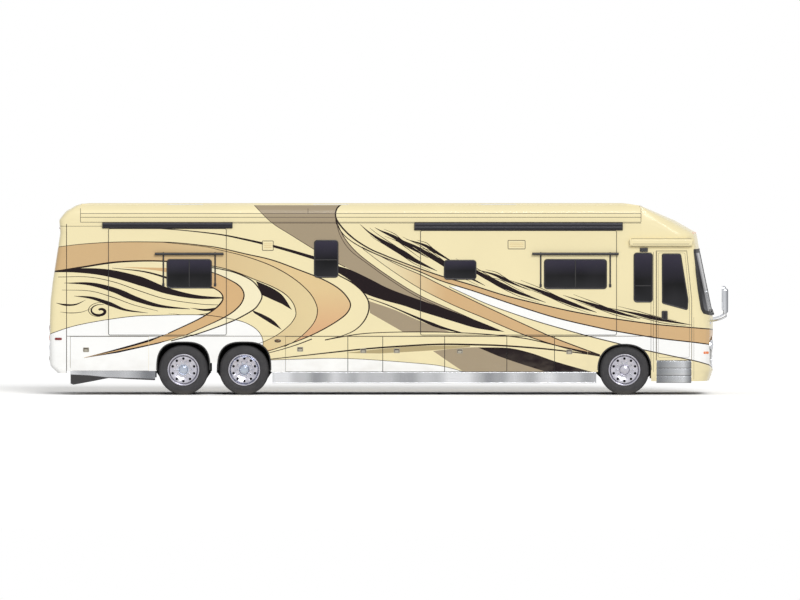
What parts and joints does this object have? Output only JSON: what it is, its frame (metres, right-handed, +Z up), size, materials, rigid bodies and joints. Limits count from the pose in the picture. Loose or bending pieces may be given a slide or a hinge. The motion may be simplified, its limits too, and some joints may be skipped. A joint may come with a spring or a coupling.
{
  "type": "motorhome",
  "caption": "Bus-type motorhome on three axles, with slide-outs, side bays, an entry door and steered front wheels.",
  "frame": {"origin": "on the ground, under the middle of the bounding box", "axes": "+X forward, +Y to the coach's left, +Z up"},
  "size_m": [13.99, 2.9, 3.92],
  "materials": {
    "cream_paint": "gloss",
    "white_paint": "gloss",
    "black_steel": "satin",
    "dark_glass": "tinted",
    "stainless": "brushed",
    "chrome": "polished",
    "tyre_rubber": "matt",
    "cast_iron": "rough",
    "floor_lining": "matt",
    "leather": "soft"
  },
  "bodies": {
    "coach": {"wall_right": "cream_paint", "wall_left": "cream_paint", "roof": "white_paint", "front_cap": "cream_paint", "rear_cap": "cream_paint", "windshield": "dark_glass", "window_hall": "dark_glass", "window_copilot": "dark_glass", "window_driver": "dark_glass", "front_fascia": "chrome", "floor": "floor_lining", "basement": "black_steel", "cockpit": "leather", "chassis_frame": "black_steel", "engine": "cast_iron", "front_axle": "black_steel", "drive_axle": "black_steel", "tag_axle": "black_steel", "awning_front": "black_steel", "awning_rear": "black_steel", "mirror_right": "chrome", "mirror_left": "chrome", "entry_step": "stainless", "trim_right": "stainless", "trim_left": "stainless", "rear_skirt_right": "stainless", "rear_skirt_left": "stainless"},
    "entry_door": {"entry_door": "cream_paint", "entry_door_window": "dark_glass"},
    "engine_door": {"engine_door": "white_paint"},
    "bay_door_right_1": {"bay_door_right_1": "white_paint"},
    "bay_door_right_2": {"bay_door_right_2": "white_paint"},
    "bay_door_right_3": {"bay_door_right_3": "white_paint"},
    "bay_door_right_4": {"bay_door_right_4": "white_paint"},
    "bay_door_right_5": {"bay_door_right_5": "white_paint"},
    "bay_door_right_6": {"bay_door_right_6": "white_paint"},
    "bay_door_left_1": {"bay_door_left_1": "white_paint"},
    "bay_door_left_2": {"bay_door_left_2": "white_paint"},
    "rear_door_right": {"rear_door_right": "white_paint"},
    "rear_door_left": {"rear_door_left": "white_paint"},
    "slide_rear_right": {"slide_rear_right": "white_paint", "window_bedroom": "dark_glass"},
    "slide_front_right": {"slide_front_right": "white_paint", "window_galley": "dark_glass", "window_lounge": "dark_glass"},
    "slide_front_left": {"slide_front_left": "white_paint", "window_salon": "dark_glass"},
    "knuckle_right": {"knuckle_right": "cast_iron"},
    "knuckle_left": {"knuckle_left": "cast_iron"},
    "wheel_front_right": {"tyre_front_right": "tyre_rubber", "rim_front_right": "chrome"},
    "wheel_front_left": {"tyre_front_left": "tyre_rubber", "rim_front_left": "chrome"},
    "wheel_tag_right": {"tyre_tag_right": "tyre_rubber", "rim_tag_right": "chrome"},
    "wheel_tag_left": {"tyre_tag_left": "tyre_rubber", "rim_tag_left": "chrome"},
    "twins_right": {"twin_wheels_right": "tyre_rubber"},
    "twins_left": {"twin_wheels_left": "tyre_rubber"}
  },
  "joints": [
    {"name": "entry_door_hinge", "type": "hinge", "parent": "coach", "child": "entry_door", "pos_m": [6.238, -1.295, 1.8], "axis": [0, 0, 1], "range_deg": [0, 90]},
    {"name": "engine_door_hinge", "type": "hinge", "parent": "coach", "child": "engine_door", "pos_m": [-6.995, 0, 1.6], "axis": [0, 1, 0], "range_deg": [0, 80]},
    {"name": "bay_hinge_right_1", "type": "hinge", "parent": "coach", "child": "bay_door_right_1", "pos_m": [-0.84524, -1.295, 0.84], "axis": [0, 0, 1], "range_deg": [0, 90]},
    {"name": "bay_hinge_right_2", "type": "hinge", "parent": "coach", "child": "bay_door_right_2", "pos_m": [-0.1257, -1.295, 0.84], "axis": [0, 0, 1], "range_deg": [0, 90]},
    {"name": "bay_hinge_right_3", "type": "hinge", "parent": "coach", "child": "bay_door_right_3", "pos_m": [1.14919, -1.295, 0.84], "axis": [0, 0, 1], "range_deg": [0, 90]},
    {"name": "bay_hinge_right_4", "type": "hinge", "parent": "coach", "child": "bay_door_right_4", "pos_m": [2.43031, -1.295, 0.84], "axis": [0, 0, 1], "range_deg": [0, 90]},
    {"name": "bay_hinge_right_5", "type": "hinge", "parent": "coach", "child": "bay_door_right_5", "pos_m": [3.41291, -1.295, 0.84], "axis": [0, 0, 1], "range_deg": [0, 90]},
    {"name": "bay_hinge_right_6", "type": "hinge", "parent": "coach", "child": "bay_door_right_6", "pos_m": [4.1, -1.295, 0.84], "axis": [0, 0, 1], "range_deg": [0, 90]},
    {"name": "bay_hinge_left_1", "type": "hinge", "parent": "coach", "child": "bay_door_left_1", "pos_m": [-0.84224, 1.295, 0.84], "axis": [0, 0, -1], "range_deg": [0, 90]},
    {"name": "bay_hinge_left_2", "type": "hinge", "parent": "coach", "child": "bay_door_left_2", "pos_m": [2.43331, 1.295, 0.84], "axis": [0, 0, -1], "range_deg": [0, 90]},
    {"name": "rear_hinge_right", "type": "hinge", "parent": "coach", "child": "rear_door_right", "pos_m": [-4.94308, -1.295, 0.84], "axis": [0, 0, 1], "range_deg": [0, 90]},
    {"name": "rear_hinge_left", "type": "hinge", "parent": "coach", "child": "rear_door_left", "pos_m": [-4.94308, 1.295, 0.84], "axis": [0, 0, -1], "range_deg": [0, 90]},
    {"name": "slide_rear_right", "type": "slide", "parent": "coach", "child": "slide_rear_right", "axis": [0, -1, 0], "range_m": [0, 0.7]},
    {"name": "slide_front_right", "type": "slide", "parent": "coach", "child": "slide_front_right", "axis": [0, -1, 0], "range_m": [0, 0.7]},
    {"name": "slide_front_left", "type": "slide", "parent": "coach", "child": "slide_front_left", "axis": [0, 1, 0], "range_m": [0, 0.7]},
    {"name": "steer_right", "type": "hinge", "parent": "coach", "child": "knuckle_right", "pos_m": [4.86, -0.955, 0.515], "axis": [0, 0, 1], "range_deg": [-45, 45]},
    {"name": "steer_left", "type": "hinge", "parent": "coach", "child": "knuckle_left", "pos_m": [4.86, 0.955, 0.515], "axis": [0, 0, 1], "range_deg": [-45, 45]},
    {"name": "spin_front_right", "type": "hinge", "parent": "knuckle_right", "child": "wheel_front_right", "pos_m": [4.86, -1.075, 0.515], "axis": [0, 1, 0], "continuous": true},
    {"name": "spin_front_left", "type": "hinge", "parent": "knuckle_left", "child": "wheel_front_left", "pos_m": [4.86, 1.075, 0.515], "axis": [0, 1, 0], "continuous": true},
    {"name": "spin_tag_right", "type": "hinge", "parent": "coach", "child": "wheel_tag_right", "pos_m": [-4.228, -1.075, 0.515], "axis": [0, 1, 0], "continuous": true},
    {"name": "spin_tag_left", "type": "hinge", "parent": "coach", "child": "wheel_tag_left", "pos_m": [-4.228, 1.075, 0.515], "axis": [0, 1, 0], "continuous": true},
    {"name": "spin_drive_right", "type": "hinge", "parent": "coach", "child": "twins_right", "pos_m": [-2.974, -0.9, 0.515], "axis": [0, 1, 0], "continuous": true},
    {"name": "spin_drive_left", "type": "hinge", "parent": "coach", "child": "twins_left", "pos_m": [-2.974, 0.9, 0.515], "axis": [0, 1, 0], "continuous": true}
  ],
  "couplings": [
    {"joint": "steer_left", "follows": "steer_right", "ratio": 1}
  ]
}
